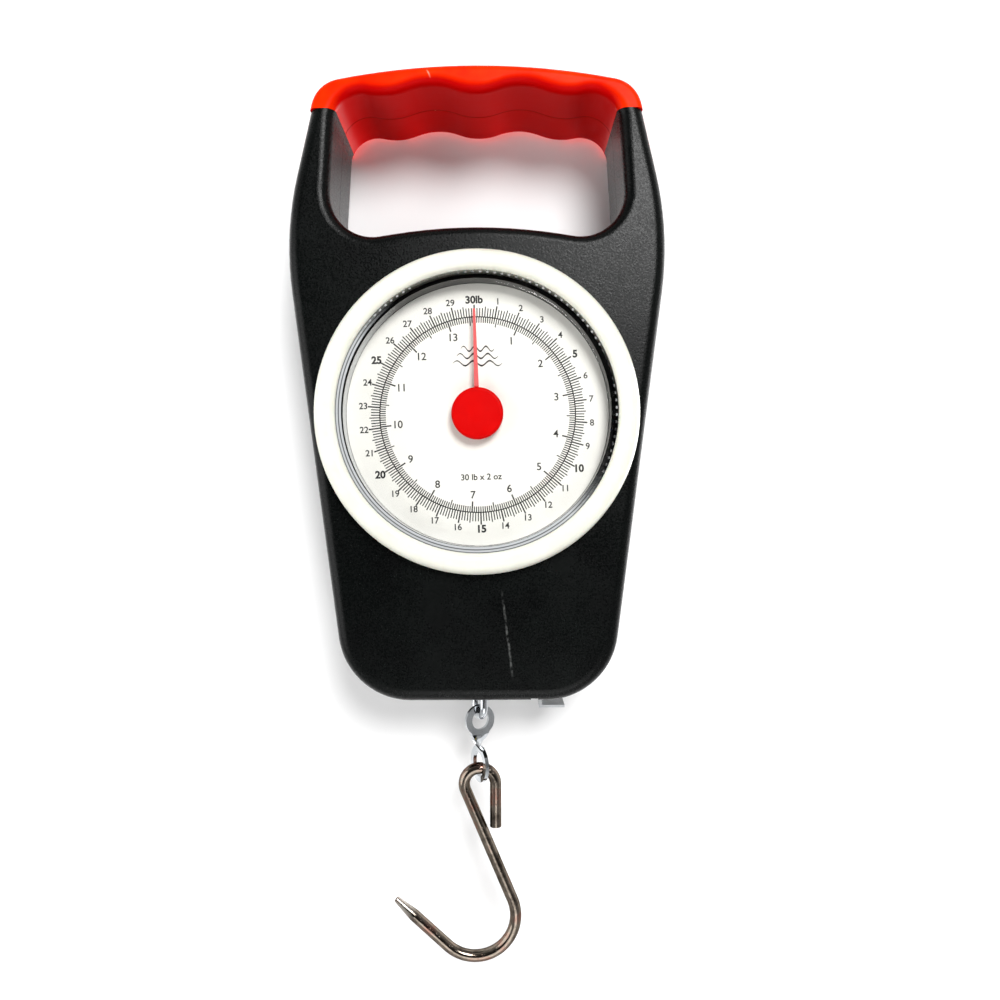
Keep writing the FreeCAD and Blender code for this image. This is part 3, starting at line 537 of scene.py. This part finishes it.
def lettering(name, text, centre, height, material, weight=0.0):
    """Upright printed figures: a text object made into a mesh, which stands a hair above the dial."""
    data = bpy.data.curves.new(name, "FONT")
    data.body = text
    data.size = height
    data.align_x = "CENTER"
    data.align_y = "CENTER"
    data.offset = weight
    data.extrude = INK_STANDS / 2
    data.resolution_u = 4
    made = bpy.data.objects.new(name, data)
    bpy.context.scene.collection.objects.link(made)
    made.rotation_euler = (math.radians(90), -PRINT_TURN, 0)
    made.location = centre - Vector((0, INK_STANDS / 2, 0))
    bpy.context.view_layer.update()
    flat = bpy.data.meshes.new_from_object(made.evaluated_get(bpy.context.evaluated_depsgraph_get()))
    flat.name = name
    flat.transform(made.matrix_world)
    bpy.data.objects.remove(made)
    flat.materials.clear()
    flat.materials.append(material)
    solid = bpy.data.objects.new(name, flat)
    bpy.context.scene.collection.objects.link(solid)
    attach(solid, "zero_ring")
    return solid


def dial_figures(material):
    """Pounds round the outside, every fifth one bold, and kilograms round the inside."""
    plain, bold = (2.7 * MM, 0.05 * MM), (3.1 * MM, 0.13 * MM)
    for pound in range(1, DIAL_UNITS + 1):
        height, weight = bold if pound % 5 == 0 else plain
        words = f"{pound}lb" if pound == DIAL_UNITS else str(pound)
        lettering(f"pounds_{pound:02d}", words, on_dial(POUND_LABEL_R, pound / DIAL_UNITS),
                  height, material, weight)
    for kilo in range(1, int(KILOS_PER_TURN) + 1):
        lettering(f"kilos_{kilo:02d}", str(kilo), on_dial(KILO_LABEL_R, kilo / KILOS_PER_TURN),
                  3.2 * MM, material, 0.05 * MM)


def dial_wording(material):
    """A plain line with the capacity and the step below the hub, and three ripples above it."""
    lettering("capacity_line", "30 lb x 2 oz", DIAL + Vector((1.0, 0, -19.0)) * MM, 2.6 * MM,
              material, 0.05 * MM)
    shape = bmesh.new()
    length, rise, width, points = 15 * MM, 0.75 * MM, 0.6 * MM, 60
    lowest, apart, narrowing, waves = 15.6 * MM, 2.2 * MM, 0.16, 3
    for row in range(3):
        edges = ([], [])
        for k in range(points):
            share = k / (points - 1)
            centre = Vector(((share - 0.5) * length * (1 - narrowing * row), 0,
                             lowest + apart * row + rise * math.sin(share * 2 * waves * math.pi)))
            taper = width / 2 * math.sin(math.pi * (0.03 + 0.94 * share)) ** 0.5
            for edge, side in zip(edges, (-1, 1)):
                edge.append(DIAL + centre + Vector((0, 0, side * taper)))
        strip(shape, *edges, INK_STANDS)
    mesh_piece("ripple_mark", shape, material, "zero_ring", smooth=False)


# ---------------------------------------------------------------- wound and flexible parts

def main_spring(name, node, hand, material):
    """The wound wire of one load spring: close hooks at both ends and an open coil between them."""
    low, high = (Vector(c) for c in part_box(node))
    centre = (low + high) / 2
    wire = 0.6 * MM                     # radius
    coil_r = (high.x - low.x) / 2 - wire
    hook_height = 3.4 * MM
    top, bottom = high.z - hook_height, low.z + hook_height
    turns, per_turn = 34, 20
    path = []
    for k in range(turns * per_turn + 1):
        share = k / (turns * per_turn)
        angle = hand * 2 * math.pi * turns * share
        path.append(Vector((centre.x + coil_r * math.cos(angle), centre.y + coil_r * math.sin(angle),
                            top + (bottom - top) * share)))
    eye_r = coil_r * 0.8
    upper = [Vector((centre.x + eye_r * math.sin(a), centre.y, high.z - wire - eye_r + eye_r * math.cos(a)))
             for a in [math.radians(t) for t in range(-75, 91, 15)]]
    lower = [Vector((centre.x + eye_r * math.sin(a), centre.y, low.z + wire + eye_r - eye_r * math.cos(a)))
             for a in [math.radians(t) for t in range(90, -76, -15)]]
    path = upper + path[per_turn // 4:-per_turn // 4] + lower
    shape = bmesh.new()
    swept_tube(shape, path, [wire] * len(path), sides=8)
    made = mesh_piece(name, shape, material, None)
    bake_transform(made)
    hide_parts(node)
    return made


def measuring_tape(material):
    """The free run of the tape: a thin flat strip that leaves the coil and ends in the tab."""
    low, high = (Vector(c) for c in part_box("tape_blade"))
    shape = bmesh.new()
    across, along = 9, 41
    sheets = []
    for face in (low.x, high.x):
        rows = []
        for i in range(along):
            z = high.z + (low.z - high.z) * i / (along - 1)
            rows.append([shape.verts.new((face, low.y + (high.y - low.y) * k / (across - 1), z))
                         for k in range(across)])
        sheets.append(rows)
    for rows in sheets:
        for one, two in zip(rows, rows[1:]):
            for k in range(across - 1):
                shape.faces.new((one[k], one[k + 1], two[k + 1], two[k]))
    for i in range(along - 1):
        for k in (0, across - 1):
            shape.faces.new((sheets[0][i][k], sheets[0][i + 1][k], sheets[1][i + 1][k], sheets[1][i][k]))
    for i in (0, along - 1):
        for k in range(across - 1):
            shape.faces.new((sheets[0][i][k], sheets[0][i][k + 1], sheets[1][i][k + 1], sheets[1][i][k]))
    made = mesh_piece("tape_strip", shape, material, None, smooth=False)
    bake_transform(made)
    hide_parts("tape_blade")
    return made


def return_spring(material):
    """The flat spiral that winds the tape back, drawn as the band it is."""
    low, high = (Vector(c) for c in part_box("tape_return_spring"))
    centre = (low + high) / 2
    outer = (high.x - low.x) / 2
    shape = bmesh.new()
    turns, per_turn, band = 5, 36, 0.12 * MM
    inner = outer * 0.45
    points = []
    for k in range(turns * per_turn + 1):
        share = k / (turns * per_turn)
        radius = inner + (outer - band - inner) * share
        angle = 2 * math.pi * turns * share
        points.append((radius, angle))

    def at(radius, angle):
        return Vector((centre.x + radius * math.cos(angle), high.y, centre.z + radius * math.sin(angle)))

    strip(shape, [at(r - band / 2, a) for r, a in points], [at(r + band / 2, a) for r, a in points],
          high.y - low.y)
    made = mesh_piece("spiral_spring", shape, material, "body")
    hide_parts("tape_return_spring")
    return made


# ---------------------------------------------------------------- stage, light and camera

CARD_SIZE = 8.0                 # metres, as are the other sizes of the stage
FLOOR_GAP = 0.05                # between the floor and the end of the tape, pulled right out
CAMERA_AWAY = 240 * MM          # from the housing's face
CAMERA_X, CAMERA_Z = 6.7 * MM, -128 * MM

# Each light's name, place from the middle of the scale, diameter and power in watts
LIGHTS = (("key", (0.25, -0.85, 0.49), 0.45, 10.6),
          ("left_fill", (-0.8, -0.42, 0.0), 0.8, 4.0),
          ("low_fill", (0.1, -0.7, -0.6), 0.6, 2.2),
          ("back_left", (-0.5, 0.7, 0.4), 0.5, 4.0),
          ("back_right", (0.6, 0.6, 0.1), 0.5, 12.0))


def area_light(name, place, aim, size, power):
    """A round soft light that faces the point aim."""
    data = bpy.data.lights.new(name, "AREA")
    data.shape = "DISK"
    data.size = size
    data.energy = power
    made = bpy.data.objects.new(name, data)
    bpy.context.scene.collection.objects.link(made)
    made.location = place
    made.rotation_euler = (Vector(aim) - Vector(place)).to_track_quat("-Z", "Y").to_euler()
    return made


def plane(name, centre, normal, size, material):
    """A flat square sheet of the stage."""
    shape = bmesh.new()
    bmesh.ops.create_grid(shape, x_segments=2, y_segments=2, size=size / 2)
    turn = Vector(normal).to_track_quat("Z", "Y").to_matrix().to_4x4()
    bmesh.ops.transform(shape, matrix=Matrix.Translation(centre) @ turn, verts=shape.verts)
    data = bpy.data.meshes.new(name)
    shape.to_mesh(data)
    shape.free()
    data.materials.append(material)
    made = bpy.data.objects.new(name, data)
    bpy.context.scene.collection.objects.link(made)
    return made


def stage_paper(name, one_sided):
    """Pale card. The upright sheet is clear from behind, so that the scale's back can be seen."""
    r = Recipe(name)
    colour = r.ramp(r.noise(8, 3), (0.3, ink(246, 246, 246)), (0.7, ink(251, 251, 251)))
    paper = r.shader(Base_Color=colour, Roughness=r.spread(r.noise(40, 3), 0.3, 0.7, 0.7, 0.85))
    if not one_sided:
        return r.done(paper)
    behind = r.add("NewGeometry").outputs["Backfacing"]
    return r.done(r.mix(behind, paper, r.add("BsdfTransparent").outputs["BSDF"]))


def room():
    """A white room that is dark in front of the dial, so that black plastic stays black."""
    world = bpy.data.worlds.new("room")
    bpy.context.scene.world = world
    world.use_nodes = True
    tree = world.node_tree
    place = tree.nodes.new("ShaderNodeTexCoord")
    axes = tree.nodes.new("ShaderNodeSeparateXYZ")
    shade = tree.nodes.new("ShaderNodeMapRange")
    shade.interpolation_type = "SMOOTHSTEP"
    for name, value in (("From Min", -0.9), ("From Max", -0.15), ("To Min", 0.05), ("To Max", 0.55)):
        shade.inputs[name].default_value = value
    tree.links.new(place.outputs["Generated"], axes.inputs["Vector"])
    tree.links.new(axes.outputs["Y"], shade.inputs["Value"])
    tree.links.new(shade.outputs["Result"], tree.nodes["Background"].inputs["Strength"])
    tree.nodes["Background"].inputs["Color"].default_value = (1, 1, 1, 1)


def studio():
    """A card right behind the scale, a floor below the end of the tape, and the lights."""
    low, high = CAD_BOX
    centre = (low + high) / 2
    reach = max(j["range_m"][1] for j in frame["joints"] if j["name"] == "tape_slide")
    card_y = high.y + 1 * MM
    card = plane("back_card", (0, card_y, centre.z), (0, -1, 0), CARD_SIZE, stage_paper("back_card", True))
    card.visible_shadow = False
    floor_z = low.z - reach - FLOOR_GAP
    plane("floor", (0, 0, floor_z), (0, 0, 1), CARD_SIZE, stage_paper("floor", False))
    room()
    for name, offset, size, power in LIGHTS:
        area_light(name, centre + Vector(offset), centre, size, power)
    bpy.context.scene.view_settings.view_transform = "Standard"


def camera():
    """Square to the face, a little right of the middle and close, as a scale on white card is seen."""
    data = bpy.data.cameras.new("camera")
    data.lens = 29.0
    data.clip_start = 0.01
    made = bpy.data.objects.new("camera", data)
    bpy.context.scene.collection.objects.link(made)
    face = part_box("front_housing")[0][1]
    made.location = (CAMERA_X, face - CAMERA_AWAY, CAMERA_Z)
    made.rotation_euler = (math.radians(90), math.radians(0.18), 0)   # level, and turned a trace
    bpy.context.scene.camera = made


# ---------------------------------------------------------------- the whole scene

def dress_frame():
    """Gives every CAD node that stays visible its material."""
    housing, grip, lens = housing_plastic(), grip_plastic(), lens_clear()
    chrome = metal("chrome_plate", ink(176, 180, 184), ink(214, 217, 220), (0.06, 0.16), lines=0.006,
                   pits=0.01)
    steel = metal("bare_steel", ink(150, 152, 154), ink(192, 193, 194), (0.24, 0.4), lines=0.02, pits=0.01)
    spring = metal("spring_wire", ink(120, 122, 126), ink(168, 170, 174), (0.2, 0.34), lines=0.015)
    screw = metal("screw_zinc", ink(146, 148, 152), ink(196, 198, 200), (0.2, 0.36), lines=0.01, pits=0.02)
    brass = metal("brass", ink(178, 140, 70), ink(214, 178, 98), (0.2, 0.36), lines=0.012)
    nylon = grained_plastic("nylon_white", ink(206, 204, 194), ink(224, 222, 212), (0.4, 0.55), 0.01 * MM)
    acetal = grained_plastic("acetal_black", ink(18, 18, 19), ink(30, 30, 31), (0.34, 0.48), 0.012 * MM)
    looks = {
        "housing_black": housing, "grip_red": grip, "bezel_white": bezel_plastic(), "lens_clear": lens,
        "dial_white": dial_card(), "pointer_red": pointer_plastic(), "chrome": chrome,
        "hook_nickel": hook_metal(), "steel_plate": steel, "spring_steel": spring, "screw_steel": screw,
        "brass": brass, "acetal_white": nylon, "acetal_black": acetal, "tape_paint": tape_paint(),
    }
    tab = metal("tab_plate", ink(196, 198, 200), ink(226, 228, 230), (0.38, 0.5), lines=0.01)
    for name, node in frame["nodes"].items():
        for place in node.material_slots:
            place.material = tab if name == "tape_tab" else looks[place.material.name.split(".")[0]]
    return looks


camera()
studio()
looks = dress_frame()
black_ink = print_ink()
dial_ring(black_ink)
dial_marks(black_ink)
dial_figures(black_ink)
dial_wording(black_ink)
main_spring("left_coil", "left_spring", 1, looks["spring_steel"])
main_spring("right_coil", "right_spring", -1, looks["spring_steel"])
measuring_tape(looks["tape_paint"])
return_spring(looks["spring_steel"])
